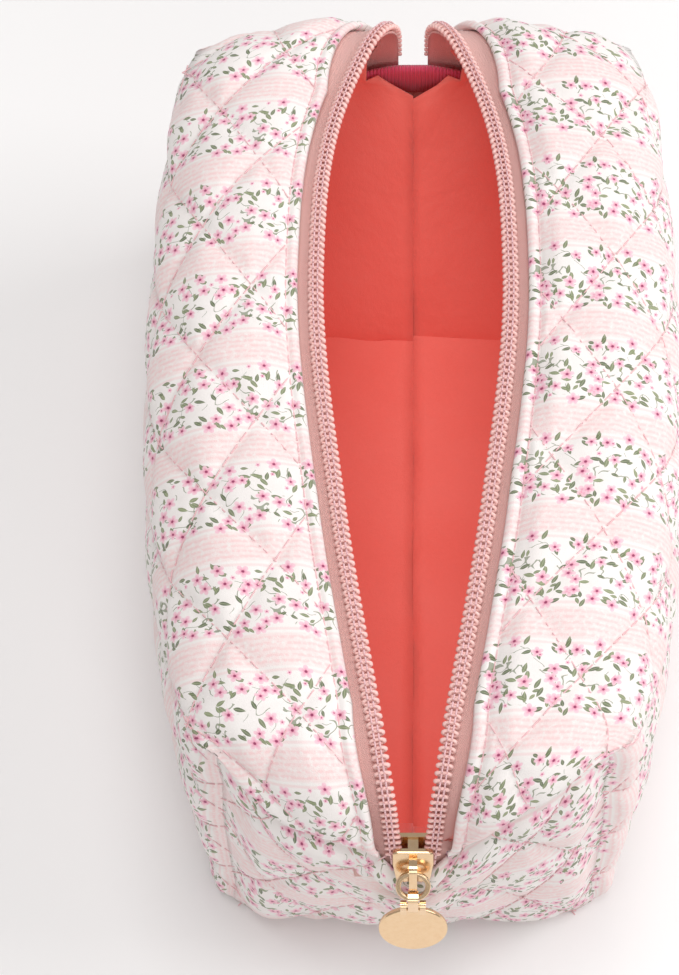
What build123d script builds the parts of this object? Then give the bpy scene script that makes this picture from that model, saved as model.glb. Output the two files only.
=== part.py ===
from build123d import *

import math
import os

# Quilted box pouch for make-up.  Millimetres.
# +Y runs from the near end (where the open zip's slider sits) to the far end,
# +X is to the right of someone at the near end, +Z is up.
# The origin is on the resting face, under the middle of the near end's corner seams.

# ---- driving dimensions -------------------------------------------------
TOP_Z = 94.0            # height of the flat top beside the zip
SEAM_Z = 59.5           # height of the seam that closes each end, where the zip stops
CORNER_HALF = 43.0      # half width between the two boxed corners of the near end
FAR_CORNER_HALF = 50.0  # the same at the far end, which is not drawn in
SIDE_HALF = 61.0        # half width where the sides bulge most
SIDE_Z = 52.0           # height of that bulge
BASE_HALF = 45.5        # half width of the base
SIDE_TOP_HALF = 57.5    # half width where the sides end and the shoulders begin
SIDE_TOP_Z = 82.0       # height of that line
SHOULDER_HALF = 44.0    # half width of the flat part of the top
SHOULDER_ROUND = 12.0   # radius where each side turns into its shoulder
NEAR_BOTTOM_Y = -5.0    # the near end's foot
FAR_BOTTOM_Y = 191.0    # the far end's foot
FAR_CORNER_Y = 190.0    # the far end's boxed corners
FAR_Y = 200.0           # outermost point of the far end
FAR_FALL_Y = 138.0      # where the top begins to fall towards the far end
FAR_FALL = 7.0          # degrees that it falls
FAR_ROLL = 15.0         # radius of that turn
NEAR_ROLL = 22.0        # radius of the turn from the top to the near end
NEAR_ROLL_Y = 9.0       # where that turn begins
ZIP_SLOPE = 70.0        # degrees from level of the zip's straight run down the near end
ZIP_STRAIGHT = 21.0     # length of that straight run, up from the end seam
SLIDER_UP = 7.0         # slider's middle above the end seam, along the zip

# layers of the wall, as depths below the outer surface; 0.15 mm of air between layers
COVER = (0.0, 0.7)      # printed cotton
WADDING = (0.85, 3.15)  # polyester wadding
TAPE = (3.3, 3.8)       # woven zip tape, sewn in between wadding and lining
LINING = (3.95, 4.45)   # plain lining
BINDING = (4.75, 6.15)  # folded grosgrain over the raw seams
COIL = (1.2, 3.15)      # nylon coil, standing on the tape's inner edge

# distances out from the coil's inner edge, across the zip
COIL_WIDTH = 2.9
TAPE_INNER = 0.6
COVER_EDGE = 5.2
LINING_EDGE = 7.0
TAPE_OUTER = 10.2

# half of the gap between the two coils, at places along the length
GAP = [(-25.0, 0.4), (-10.5, 3.9), (10.0, 7.4), (57.0, 15.0), (118.0, 20.6), (165.0, 16.2),
       (186.0, 9.5), (205.0, 0.9)]

BINDING_WIDTH = 11.0
AIR = 0.3               # clearance between pieces that move past each other

PAST = 6.0              # how far an outline runs past the faces that another outline cuts
HIGH = 130.0            # tall and wide enough to pass any part of the pouch
WIDE = 150.0


# ---- outlines ------------------------------------------------------------
def side_outline():
    """The pouch from its right side: its length along Y and its height."""
    slope = math.radians(ZIP_SLOPE)
    centre_z = TOP_Z - NEAR_ROLL
    roll_end = (NEAR_ROLL_Y - NEAR_ROLL * math.sin(slope), centre_z + NEAR_ROLL * math.cos(slope))
    half = math.radians(90 - ZIP_SLOPE / 2)
    roll_mid = (NEAR_ROLL_Y - NEAR_ROLL * math.cos(half), centre_z + NEAR_ROLL * math.sin(half))
    seam = (roll_end[0] - ZIP_STRAIGHT * math.cos(slope), roll_end[1] - ZIP_STRAIGHT * math.sin(slope))
    fall = math.radians(FAR_FALL)
    far_centre_y = FAR_Y - FAR_ROLL
    far_turn_y = far_centre_y + FAR_ROLL * math.sin(fall)
    far_turn = (far_turn_y, TOP_Z - (far_turn_y - FAR_FALL_Y) * math.tan(fall))
    far_centre_z = far_turn[1] - FAR_ROLL * math.cos(fall)
    middle = (math.pi / 2 - fall) / 2
    far_mid = (far_centre_y + FAR_ROLL * math.cos(middle), far_centre_z + FAR_ROLL * math.sin(middle))
    far_end = (FAR_Y, far_centre_z)
    with BuildSketch(Plane.YZ) as sketch:
        with BuildLine():
            Line((NEAR_ROLL_Y, TOP_Z), (FAR_FALL_Y, TOP_Z))
            Line((FAR_FALL_Y, TOP_Z), far_turn)
            ThreePointArc(far_turn, far_mid, far_end)
            Line(far_end, (FAR_Y, SEAM_Z))
            Line((FAR_Y, SEAM_Z), (FAR_BOTTOM_Y, 0))
            Line((FAR_BOTTOM_Y, 0), (NEAR_BOTTOM_Y, 0))
            Line((NEAR_BOTTOM_Y, 0), seam)
            Line(seam, roll_end)
            ThreePointArc(roll_end, roll_mid, (NEAR_ROLL_Y, TOP_Z))
        make_face()
    return sketch.sketch


def end_outline():
    """The pouch from its near end: sides that bulge and sloping shoulders.
    It runs past the top and the base, which the side outline cuts flat."""
    shoulder_run = (SIDE_TOP_HALF - SHOULDER_HALF) / (TOP_Z - SIDE_TOP_Z)
    peak_half = SHOULDER_HALF - shoulder_run * PAST
    with BuildSketch(Plane.XZ) as sketch:
        with BuildLine():
            Line((-BASE_HALF, -PAST), (BASE_HALF, -PAST))
            ThreePointArc((BASE_HALF, -PAST), (SIDE_HALF, SIDE_Z), (SIDE_TOP_HALF, SIDE_TOP_Z))
            Polyline((SIDE_TOP_HALF, SIDE_TOP_Z), (peak_half, TOP_Z + PAST), (-peak_half, TOP_Z + PAST),
                     (-SIDE_TOP_HALF, SIDE_TOP_Z))
            ThreePointArc((-SIDE_TOP_HALF, SIDE_TOP_Z), (-SIDE_HALF, SIDE_Z), (-BASE_HALF, -PAST))
        make_face()
        fillet(sketch.vertices().filter_by(lambda v: abs(v.Z - SIDE_TOP_Z) < 1), SHOULDER_ROUND)
    return sketch.sketch


def plan_outline():
    """The pouch from above: both ends bulge between their corners, and so do the sides."""
    mid_y = FAR_CORNER_Y / 2
    seam_y = NEAR_ROLL_Y - NEAR_ROLL * math.sin(math.radians(ZIP_SLOPE))
    seam_y -= ZIP_STRAIGHT * math.cos(math.radians(ZIP_SLOPE))
    with BuildSketch() as sketch:
        with BuildLine():
            ThreePointArc((-CORNER_HALF, 0), (0, seam_y - PAST), (CORNER_HALF, 0))
            ThreePointArc((CORNER_HALF, 0), (SIDE_HALF, mid_y), (FAR_CORNER_HALF, FAR_CORNER_Y))
            ThreePointArc((FAR_CORNER_HALF, FAR_CORNER_Y), (0, FAR_Y + PAST), (-FAR_CORNER_HALF, FAR_CORNER_Y))
            ThreePointArc((-FAR_CORNER_HALF, FAR_CORNER_Y), (-SIDE_HALF, mid_y), (-CORNER_HALF, 0))
        make_face()
    return sketch.sketch


def body_at(depth):
    """Everything inside the surface that lies this far below the outer one."""
    side, end, plan = side_outline(), end_outline(), plan_outline()
    if depth > 0:
        side, end, plan = (offset(o, amount=-depth, kind=Kind.INTERSECTION) for o in (side, end, plan))
    along_x = extrude(side, amount=WIDE / 2, both=True)
    along_y = extrude(end, amount=3 * WIDE, both=True)
    along_z = extrude(plan, amount=HIGH, both=True)
    return along_x & along_y & along_z


def layer(depths):
    """A shell between two depths below the outer surface."""
    return body_at(depths[0]) - body_at(depths[1])


def mouth(spread, bottom=SEAM_Z + 0.5):
    """A tall prism over the zip's opening, spread sideways from the coils' inner edges."""
    right = [(half + spread, y) for y, half in GAP]
    left = [(-x, y) for x, y in reversed(right)]
    with BuildSketch(Plane.XY.offset(bottom)) as sketch:
        with BuildLine():
            Spline(*right)
            Line(right[-1], left[0])
            Spline(*left)
            Line(left[-1], right[0])
        make_face()
    return extrude(sketch.sketch, amount=HIGH)


def half(shape, side):
    """The part of a shape on one side of the middle seam; side is -1 for left, 1 for right."""
    return shape & Pos(side * WIDE / 2, FAR_Y / 2, 0) * Box(WIDE, 3 * WIDE, 2 * HIGH)


def one_solid(shape):
    """The single solid of a cut shape; a sliver left by the cut is dropped."""
    return max(shape.solids(), key=lambda s: s.volume)


parts = {}

# ---- the quilted walls ---------------------------------------------------
# Each side is a panel of printed cotton, a layer of wadding and a lining, which wraps
# from the zip round the side to the seam along the middle of the base.
for name, depths, edge in (("cover", COVER, COVER_EDGE), ("wadding", WADDING, COVER_EDGE),
                           ("lining", LINING, LINING_EDGE)):
    shell = layer(depths) - mouth(edge)
    for side_name, side in (("left", -1), ("right", 1)):
        parts[f"{name}_{side_name}"] = one_solid(half(shell, side))

# ---- the zip's tapes and coils -------------------------------------------
side_tape = extrude(offset(side_outline(), amount=-TAPE[0], kind=Kind.INTERSECTION), amount=WIDE / 2, both=True)
side_tape -= extrude(offset(side_outline(), amount=-TAPE[1], kind=Kind.INTERSECTION), amount=WIDE / 2, both=True)
tapes = side_tape & (mouth(TAPE_OUTER) - mouth(TAPE_INNER)) & body_at(TAPE[0])
side_coil = extrude(offset(side_outline(), amount=-COIL[0], kind=Kind.INTERSECTION), amount=WIDE / 2, both=True)
side_coil -= extrude(offset(side_outline(), amount=-COIL[1], kind=Kind.INTERSECTION), amount=WIDE / 2, both=True)
coils = side_coil & (mouth(COIL_WIDTH) - mouth(0)) & body_at(COIL[0])
for side_name, side in (("left", -1), ("right", 1)):
    parts[f"zip_tape_{side_name}"] = one_solid(half(tapes, side))
    parts[f"zip_coil_{side_name}"] = one_solid(half(coils, side))

# ---- grosgrain bindings over the raw seams inside --------------------------
binding = layer(BINDING)
END_BINDING_HALF = 33.0
binding_z = SEAM_Z - BINDING_WIDTH / 2 - 1.5
for name, y, end_half in (("near", 0, END_BINDING_HALF), ("far", FAR_CORNER_Y, END_BINDING_HALF + 4)):
    reach = Pos(0, y, binding_z) * Box(2 * end_half, 70, BINDING_WIDTH)
    parts[f"end_binding_{name}"] = one_solid(binding & reach)
CORNER_LOW = 9.0
CORNER_TALL = 34.0
for end_name, y, corner_half in (("near", 4, CORNER_HALF), ("far", FAR_CORNER_Y - 4, FAR_CORNER_HALF)):
    for side_name, side in (("left", -1), ("right", 1)):
        reach = Pos(side * (corner_half - 3), y, CORNER_LOW + CORNER_TALL / 2)
        reach = reach * Box(BINDING_WIDTH + 6, BINDING_WIDTH + 6, CORNER_TALL)
        parts[f"corner_binding_{end_name}_{side_name}"] = one_solid(binding & reach)

# ---- the slider ------------------------------------------------------------
# Its plane lies on the near end's outer surface: local x across, y up the zip, z outward.
slope = math.radians(ZIP_SLOPE)
roll_end_y = NEAR_ROLL_Y - NEAR_ROLL * math.sin(slope)
roll_end_z = TOP_Z - NEAR_ROLL + NEAR_ROLL * math.cos(slope)
down_zip = ZIP_STRAIGHT - SLIDER_UP
slider_at = Plane(origin=(0, roll_end_y - down_zip * math.cos(slope), roll_end_z - down_zip * math.sin(slope)),
                  x_dir=(1, 0, 0), z_dir=(0, -math.sin(slope), math.cos(slope)))
PLATE = 1.2
PLATE_LENGTH = 9.4
PLATE_WIDE = 8.6
PLATE_NARROW = 7.0
POST_HALF = 1.1
BRIDGE_WIDE = 1.7
BRIDGE_THICK = 1.1
BRIDGE_LENGTH = 7.4
BRIDGE_RISE = 3.9       # height of the bridge's outer face above the plate
outer_low = -COIL[0] + AIR
inner_high = -TAPE[1] - AIR


def plate_outline():
    """A slider plate: wide shoulders at the top, narrower at the tail."""
    with BuildSketch() as sketch:
        with BuildLine():
            top, low = PLATE_LENGTH / 2, -PLATE_LENGTH / 2
            Polyline((-PLATE_WIDE / 2, top), (PLATE_WIDE / 2, top), (PLATE_WIDE / 2, 0.5), (PLATE_NARROW / 2, low),
                     (-PLATE_NARROW / 2, low), (-PLATE_WIDE / 2, 0.5), close=True)
        make_face()
        fillet(sketch.vertices(), 1.1)
    return sketch.sketch


outer_plate = Pos(0, 0, outer_low) * extrude(plate_outline(), amount=PLATE)
outer_plate = fillet(outer_plate.edges().group_by(Axis.Z)[-1], 0.45)
inner_plate = Pos(0, 0, inner_high - PLATE) * extrude(plate_outline(), amount=PLATE)
post = Pos(0, PLATE_LENGTH / 2 - 1.3, (outer_low + inner_high) / 2) * Box(2 * POST_HALF, 1.8, outer_low - inner_high + 0.4)
plate_top = outer_low + PLATE
with BuildSketch(Plane.YZ) as bridge_side:
    with Locations((0, plate_top + BRIDGE_RISE / 2 - 0.2)):
        RectangleRounded(BRIDGE_LENGTH, BRIDGE_RISE + 0.4, 1.6)
        RectangleRounded(BRIDGE_LENGTH - 2 * BRIDGE_THICK, BRIDGE_RISE + 0.4 - 2 * BRIDGE_THICK, 0.6,
                         mode=Mode.SUBTRACT)
bridge = extrude(bridge_side.sketch, amount=BRIDGE_WIDE / 2, both=True)
parts["slider_body"] = slider_at * one_solid(outer_plate + inner_plate + post + bridge)

# ---- the pull: ring, link and disc -----------------------------------------
RING_WIDE = 7.4
RING_TALL = 6.8
RING_WIRE = 1.1
RING_LIFT = 20.0        # degrees that the ring stands off the zip's plane, resting on the slider's tail
ring_n = plate_top + (BRIDGE_RISE - 0.4) / 2
ring_top = slider_at.from_local_coords((0, 0, ring_n))
ring_bar = (RING_TALL - RING_WIRE) / 2
ring_slope = math.radians(ZIP_SLOPE - RING_LIFT)
ring_at = Plane(origin=ring_top, x_dir=(1, 0, 0), z_dir=(0, -math.sin(ring_slope), math.cos(ring_slope)))
with BuildSketch() as ring_face:
    SlotCenterToCenter(RING_WIDE - RING_TALL, RING_TALL)
    SlotCenterToCenter(RING_WIDE - RING_TALL, RING_TALL - 2 * RING_WIRE, mode=Mode.SUBTRACT)
ring = extrude(ring_face.sketch, amount=RING_WIRE / 2, both=True)
ring = fillet(ring.edges(), 0.3)
parts["pull_ring"] = ring_at * (Pos(0, -ring_bar, 0) * ring)
ring_low = ring_at.from_local_coords((0, -2 * ring_bar, 0))

LINK_WIDE = 2.2
LINK_LONG = 7.2
LINK_DEEP = 2.9
LINK_WALL = 0.7
PIN = 1.0
LINK_REACH = LINK_LONG - 2 * LINK_WALL - RING_WIRE / 2 - PIN / 2 - 2 * 0.2
pin_at = ring_low - Vector(0, 0, LINK_REACH)
with BuildSketch(Plane.YZ) as link_side:
    RectangleRounded(LINK_DEEP, LINK_LONG, 1.2)
    RectangleRounded(LINK_DEEP - 2 * LINK_WALL, LINK_LONG - 2 * LINK_WALL, 0.6, mode=Mode.SUBTRACT)
link = extrude(link_side.sketch, amount=LINK_WIDE / 2, both=True)
link_mid = ring_low - Vector(0, 0, LINK_REACH / 2)
parts["pull_link"] = Pos(*link_mid) * link

DISC_TILT = 15.0        # the disc's foot hangs forward, because its ears stand on its face
DISC = 14.8
DISC_THICK = 1.2
EAR_WIDE = 1.3
EAR_ROUND = 2.2
EAR_HALF = LINK_WIDE / 2 + AIR + EAR_WIDE / 2
DISC_DROP = DISC / 2 + 2.0
DISC_SET_BACK = 0.35    # how far the disc lies back under its pin; at 1 its middle hangs straight below
tilt = math.radians(DISC_TILT)
disc_at = Plane(origin=pin_at, x_dir=(1, 0, 0), z_dir=(0, -math.cos(tilt), math.sin(tilt)))
disc_back = -DISC_DROP * math.tan(tilt) * DISC_SET_BACK
disc = Pos(0, -DISC_DROP, disc_back) * Cylinder(DISC / 2, DISC_THICK)
disc = fillet(disc.edges(), 0.4)
ear_foot = -DISC_DROP + DISC / 2 - 1.4
for side in (-1, 1):
    ear = Rot(0, 90, 0) * Cylinder(EAR_ROUND / 2, EAR_WIDE)
    stem = Pos(0, ear_foot / 2, disc_back / 2) * Rot(math.degrees(math.atan2(disc_back, ear_foot)) + 180, 0, 0)
    stem = stem * Box(EAR_WIDE, math.hypot(ear_foot, disc_back) + 0.3, EAR_ROUND * 0.7)
    disc += Pos(side * EAR_HALF, 0, 0) * (ear + stem)
disc += Rot(0, 90, 0) * Cylinder(PIN / 2, 2 * EAR_HALF)
parts["pull_disc"] = disc_at * disc

# ---- write ----------------------------------------------------------------
os.makedirs("parts", exist_ok=True)
for name, shape in parts.items():
    shape.label = name
    export_step(shape, f"parts/{name}.step")

print("slider joint at", slider_at.origin, "along", slider_at.y_dir)
print("ring hinge at", ring_top)
print("link hinge at", ring_low)
print("disc hinge at", pin_at)
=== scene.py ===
import math

import bpy
import numpy as np
from mathutils import Matrix, Vector
from mathutils.bvhtree import BVHTree
from mathutils.kdtree import KDTree


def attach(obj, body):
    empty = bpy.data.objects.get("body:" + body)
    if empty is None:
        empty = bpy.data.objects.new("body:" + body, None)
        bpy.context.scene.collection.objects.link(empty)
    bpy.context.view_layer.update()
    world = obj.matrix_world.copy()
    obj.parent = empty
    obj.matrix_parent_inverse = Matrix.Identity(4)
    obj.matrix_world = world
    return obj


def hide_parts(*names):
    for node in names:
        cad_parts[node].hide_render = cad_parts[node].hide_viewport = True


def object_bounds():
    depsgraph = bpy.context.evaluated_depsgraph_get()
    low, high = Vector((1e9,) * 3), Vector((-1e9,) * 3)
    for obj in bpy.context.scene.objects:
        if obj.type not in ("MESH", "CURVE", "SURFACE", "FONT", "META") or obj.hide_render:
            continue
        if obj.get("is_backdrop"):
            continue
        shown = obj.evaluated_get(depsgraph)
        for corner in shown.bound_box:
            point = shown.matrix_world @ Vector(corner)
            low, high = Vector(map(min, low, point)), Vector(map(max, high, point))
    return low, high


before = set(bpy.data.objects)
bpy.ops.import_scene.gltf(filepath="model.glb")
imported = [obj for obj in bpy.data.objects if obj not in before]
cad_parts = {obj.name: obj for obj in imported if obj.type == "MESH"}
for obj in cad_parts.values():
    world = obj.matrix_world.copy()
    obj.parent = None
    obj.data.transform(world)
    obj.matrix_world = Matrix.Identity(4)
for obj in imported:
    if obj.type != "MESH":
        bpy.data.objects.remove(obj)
cad_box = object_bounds()

# ---- the studio ---------------------------------------------------------------
# The pouch stands on a white sweep. The camera hangs over the near end and looks down into
# the open zip. A large soft light to the right throws a faint shadow to the left.
MM = 0.001
scene = bpy.context.scene
LENS = 100.4
CAMERA_AT = (0.0, -0.225, 0.605)
CAMERA_TILT = 29.1
CAMERA_YAW = 1.55
LIGHTS = (
    ("window", (1.25, 0.25, 0.95), 0.9, 10.0),
    ("overhead", (-0.02, 0.12, 1.5), 0.7, 9.0),
    ("front", (0.25, -1.1, 0.75), 0.7, 2.6),
)

camera_data = bpy.data.cameras.new("camera")
camera_data.lens = LENS
camera_data.sensor_width = 36.0
camera_data.clip_end = 20.0
camera = bpy.data.objects.new("camera", camera_data)
scene.collection.objects.link(camera)
tilt = Matrix.Rotation(math.radians(CAMERA_TILT), 4, "X")
yaw = Matrix.Rotation(math.radians(CAMERA_YAW), 4, "Y")
camera.matrix_world = Matrix.Translation(CAMERA_AT) @ tilt @ yaw
scene.camera = camera

pouch_middle = (cad_box[0] + cad_box[1]) / 2
for name, place, size, power in LIGHTS:
    lamp = bpy.data.lights.new(name, "AREA")
    lamp.shape = "SQUARE"
    lamp.size = size
    lamp.energy = power
    light = bpy.data.objects.new(name, lamp)
    light.location = place
    light.rotation_euler = (Vector(place) - pouch_middle).to_track_quat("Z", "Y").to_euler()
    scene.collection.objects.link(light)
world = bpy.data.worlds.new("studio")
world.use_nodes = True
world.node_tree.nodes["Background"].inputs["Color"].default_value = (1.0, 0.99, 0.985, 1)
world.node_tree.nodes["Background"].inputs["Strength"].default_value = 0.44
scene.world = world
scene.view_settings.view_transform = "Standard"


class Tone:
    """A number or colour that varies over a surface; sums of tones add their own nodes."""

    tree = None

    def __init__(self, socket):
        self.socket = socket

    @classmethod
    def node(cls, kind, settings=None, sockets=None, out=0):
        made = cls.tree.nodes.new("ShaderNode" + kind)
        for name, value in (settings or {}).items():
            setattr(made, name, value)
        for name, value in (sockets or {}).items():
            if isinstance(value, Tone):
                cls.tree.links.new(value.socket, made.inputs[name])
            else:
                made.inputs[name].default_value = value
        return cls(made.outputs[out])

    def sum(self, operation, *others):
        sockets = dict(enumerate((self, *others)))
        return Tone.node("Math", {"operation": operation}, sockets)

    def __add__(self, other):
        return self.sum("ADD", other)

    def __radd__(self, other):
        return self.sum("ADD", other)

    def __sub__(self, other):
        return self.sum("SUBTRACT", other)

    def __rsub__(self, other):
        return self.sum("MULTIPLY_ADD", -1.0, other)

    def __mul__(self, other):
        return self.sum("MULTIPLY", other)

    def __rmul__(self, other):
        return self.sum("MULTIPLY", other)

    def __truediv__(self, other):
        return self.sum("DIVIDE", other)

    def __lt__(self, other):
        return self.sum("LESS_THAN", other)

    def __gt__(self, other):
        return self.sum("GREATER_THAN", other)

    def step(self, low, high):
        """0 below low, 1 above high, smooth between."""
        sockets = {"Value": self, "From Min": low, "From Max": high}
        return Tone.node("MapRange", {"interpolation_type": "SMOOTHSTEP"}, sockets)


def colour(red, green, blue):
    """A colour given as screen values from 0 to 255."""
    channels = [c / 255 for c in (red, green, blue)]
    return tuple(c / 12.92 if c < 0.04045 else ((c + 0.055) / 1.055) ** 2.4 for c in channels) + (1.0,)


def mixed(share, low, high, blend="MIX"):
    """One colour over another."""
    made = Tone.tree.nodes.new("ShaderNodeMix")
    made.data_type = "RGBA"
    made.blend_type = blend
    for name, value in (("Factor_Float", share), ("A_Color", low), ("B_Color", high)):
        socket = next(s for s in made.inputs if s.identifier == name)
        if isinstance(value, Tone):
            Tone.tree.links.new(value.socket, socket)
        else:
            socket.default_value = value
    return Tone(next(s for s in made.outputs if s.identifier == "Result_Color"))


def finish_of(name, **settings):
    """A new material; the shader's fixed settings are given by name, with _ for a space."""
    made = bpy.data.materials.new(name)
    made.use_nodes = True
    Tone.tree = made.node_tree
    shader = made.node_tree.nodes["Principled BSDF"]
    for key, value in settings.items():
        shader.inputs[key.replace("_", " ")].default_value = value
    return made, shader


def feed(shader, **tones):
    """Leads what varies into the shader."""
    for key, value in tones.items():
        Tone.tree.links.new(value.socket, shader.inputs[key.replace("_", " ")])


def raised(height, depth, strength=1.0):
    """A bump of the given depth in metres."""
    return Tone.node("Bump", {}, {"Height": height, "Distance": depth, "Strength": strength})


def by_axis(vector):
    """The three parts of a vector."""
    made = Tone.node("SeparateXYZ", {}, {"Vector": vector})
    return [Tone(s) for s in made.socket.node.outputs]


def noise(where, size, detail=2.0, roughness=0.5, out=0):
    """Cloudy noise; size is about how many spots there are to a unit."""
    sockets = {"Vector": where, "Scale": size, "Detail": detail, "Roughness": roughness}
    return Tone.node("TexNoise", {}, sockets, out)


def piece_of(name, points, faces, materials=(), smooth=True):
    """A mesh piece from points in millimetres."""
    mesh = bpy.data.meshes.new(name)
    mesh.from_pydata((np.asarray(points) * MM).tolist(), [], faces)
    for material in materials:
        mesh.materials.append(material)
    mesh.polygons.foreach_set("use_smooth", [smooth] * len(mesh.polygons))
    made = bpy.data.objects.new(name, mesh)
    scene.collection.objects.link(made)
    return made


sweep_finish, shader = finish_of("white_sweep", Roughness=0.9)
where = Tone.node("TexCoord", out=3)
feed(shader, Base_Color=mixed(noise(where, 3.0), (0.90, 0.885, 0.88, 1), (0.93, 0.92, 0.915, 1)))
FLOOR = 6000.0
floor = piece_of("floor", [(-FLOOR, -FLOOR, 0), (FLOOR, -FLOOR, 0), (FLOOR, FLOOR, 0), (-FLOOR, FLOOR, 0)],
                 [(0, 1, 2, 3)], [sweep_finish], False)
floor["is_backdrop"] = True

# ---- the quilted panels ----------------------------------------------------------
# Two panels of printed cotton, each quilted to wadding in diamonds, wrap from the zip round the
# side to the middle of the base. At both ends the top and the base fold over and are sewn
# together across the end; each boxed corner has an upright seam.
SIDES = (("left", -1), ("right", 1))
GAP = [(-25.0, 0.4), (-10.5, 3.9), (10.0, 7.4), (57.0, 15.0), (118.0, 20.6), (165.0, 16.2), (186.0, 9.5),
       (205.0, 0.9)]
COVER_EDGE = 5.2
TOP = 94.0
FALL_FROM = 138.0
FALL = math.tan(math.radians(7.0))
FLAP_FROM = 9.0
FLAP_TO = 170.0
LAST = 190.0
HALF_WIDTH = [(0, 41.3), (0.8, 44.2), (2.2, 46.3), (5, 47.9), (12, 50.4), (29, 54.5), (55, 58.8), (80, 61.2),
              (120, 61.8), (162, 60.4), (178, 57.8), (186, 54.8), (189.2, 52.2), (190, 49.5)]
BASE_WIDTH = [(0, 40.8), (1, 42.4), (4, 43.6), (30, 45), (95, 46), (160, 45.5), (186, 44.5), (189, 43.6),
              (190, 42)]
SHOULDER = [(0, 88.4), (12, 87.0), (40, 85.0), (140, 84.0), (170, 82.5), (190, 80.5)]
CREASE = {
    "left": [(0, -18.6, 61.0), (4, -17.8, 64.2), (8, -16.2, 69.0), (16, -14.6, 74.0), (28, -11.0, 77.5),
             (36, -5.4, 84.0), (41, 0.2, 88.2)],
    "right": [(0, -18.6, 61.0), (4, -17.8, 64.2), (8, -16.2, 69.0), (16, -14.2, 80.0), (28, -9.6, 86.5),
              (36, -4.6, 89.0), (41, 0.2, 88.4)],
}
FAR_CREASE = [(0, 200.0, 60.0), (8, 199.8, 66.0), (20, 198.4, 71.5), (35, 195.6, 77.0), (45, 192.2, 79.6),
              (48, 190.0, 80.2)]
BACK_OF_END = 70.0
PANEL_THICK = 3.0
QUILT = (24.0, 35.0)
QUILT_AT = {"left": (10.4, 41.5), "right": (7.6, 67.3)}
QUILT_RISE = 1.55
TOPSTITCH = 2.7


def through(knots, at):
    """A smooth line through knots (place, value, ...), read at many places."""
    knots = np.array(knots, float)
    place, value = knots[:, 0], knots[:, 1:]
    slope = np.gradient(value, place, axis=0)
    at = np.clip(np.asarray(at, float), place[0], place[-1])
    i = np.clip(np.searchsorted(place, at) - 1, 0, len(place) - 2)
    h = (place[i + 1] - place[i])[..., None]
    t = (at - place[i])[..., None] / h
    low = (1 + 2 * t) * (1 - t) ** 2 * value[i] + t * (1 - t) ** 2 * h * slope[i]
    high = t * t * (3 - 2 * t) * value[i + 1] + t * t * (t - 1) * h * slope[i + 1]
    return (low + high)[..., 0] if value.shape[1] == 1 else low + high


def ease(low, high, at):
    """0 below low, 1 above high, smooth between."""
    t = np.clip((np.asarray(at, float) - low) / (high - low), 0, 1)
    return t * t * (3 - 2 * t)


def line_length(points):
    """Length along a line of points, at each point."""
    return np.concatenate([[0], np.cumsum(np.linalg.norm(np.diff(points, axis=0), axis=1))])


def at_shares(points, shares):
    """Points at shares of a line's length."""
    run = line_length(points)
    wanted = np.asarray(shares) * run[-1]
    return np.stack([np.interp(wanted, run, values) for values in points.T], 1)


def bent(controls, fine=14):
    """A smooth line through control points."""
    controls = np.array(controls, float)
    run = np.concatenate([[0], np.cumsum(np.linalg.norm(np.diff(controls, axis=0), axis=1) ** 0.5)])
    spans = [np.linspace(low, high, fine, endpoint=False) for low, high in zip(run[:-1], run[1:])]
    at = np.concatenate(spans + [[run[-1]]])
    return through(np.column_stack([run, controls]), at)


def top_height(y):
    past = np.maximum(np.asarray(y, float) - FALL_FROM, 0)
    return TOP - FALL * past * ease(FALL_FROM - 15, FALL_FROM + 15, y)


def section(y, column_shares):
    """One half's outline across the pouch at y, as points (x, z) for the top, side and base columns."""
    mouth = float(through(GAP, y)) + COVER_EDGE
    width, base = float(through(HALF_WIDTH, y)), float(through(BASE_WIDTH, y))
    shoulder = float(through(SHOULDER, y))
    height = float(top_height(y))
    ends = float(min(ease(0, 30, y), ease(0, 30, LAST - y)))
    shoulder_x = width - 1.6 - 3.0 * ends
    top_x = width - 8 - 7.5 * ends
    middle_x = mouth + 0.42 * (top_x - mouth)
    bulge = max(width - base, 0.0)
    top = [(mouth, height - 0.3), (middle_x, height + 0.9), (top_x, height - 0.9 - 0.6 * (1 - ends))]
    side = [(shoulder_x, shoulder), (width - 0.9, 0.79 * shoulder + 1.5), (width, 52),
            (base + 0.86 * bulge, 30), (base + 0.42 * bulge, 12), (base + 0.8, 2.4)]
    under = [(base - 3.2, 0.15), (base * 0.5, 0.0), (0.0, 0.0)]
    whole = bent(top + side + under)
    shoulder_i, edge_i = 14 * len(top), 14 * (len(top) + len(side) - 1)
    runs = (whole[:shoulder_i + 1], whole[shoulder_i:edge_i + 1], whole[edge_i:])
    return [at_shares(run, shares) for run, shares in zip(runs, column_shares)]


def near_foot(x):
    """How far the near end's foot stands out from its corners."""
    return through([(0, -2.6), (20, -2.5), (34, -2.0), (39, -1.2), (41.6, 0.0)], x)


def far_foot(x):
    return through([(0, 193.0), (20, 192.8), (36, 192.0), (41, 191.0), (42.8, 190.0)], x)


def bezier(start, start_pull, end_pull, end, count):
    t = np.linspace(0, 1, count)[:, None]
    return ((1 - t) ** 3 * start + 3 * (1 - t) ** 2 * t * start_pull
            + 3 * (1 - t) * t * t * end_pull + t ** 3 * end)


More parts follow.
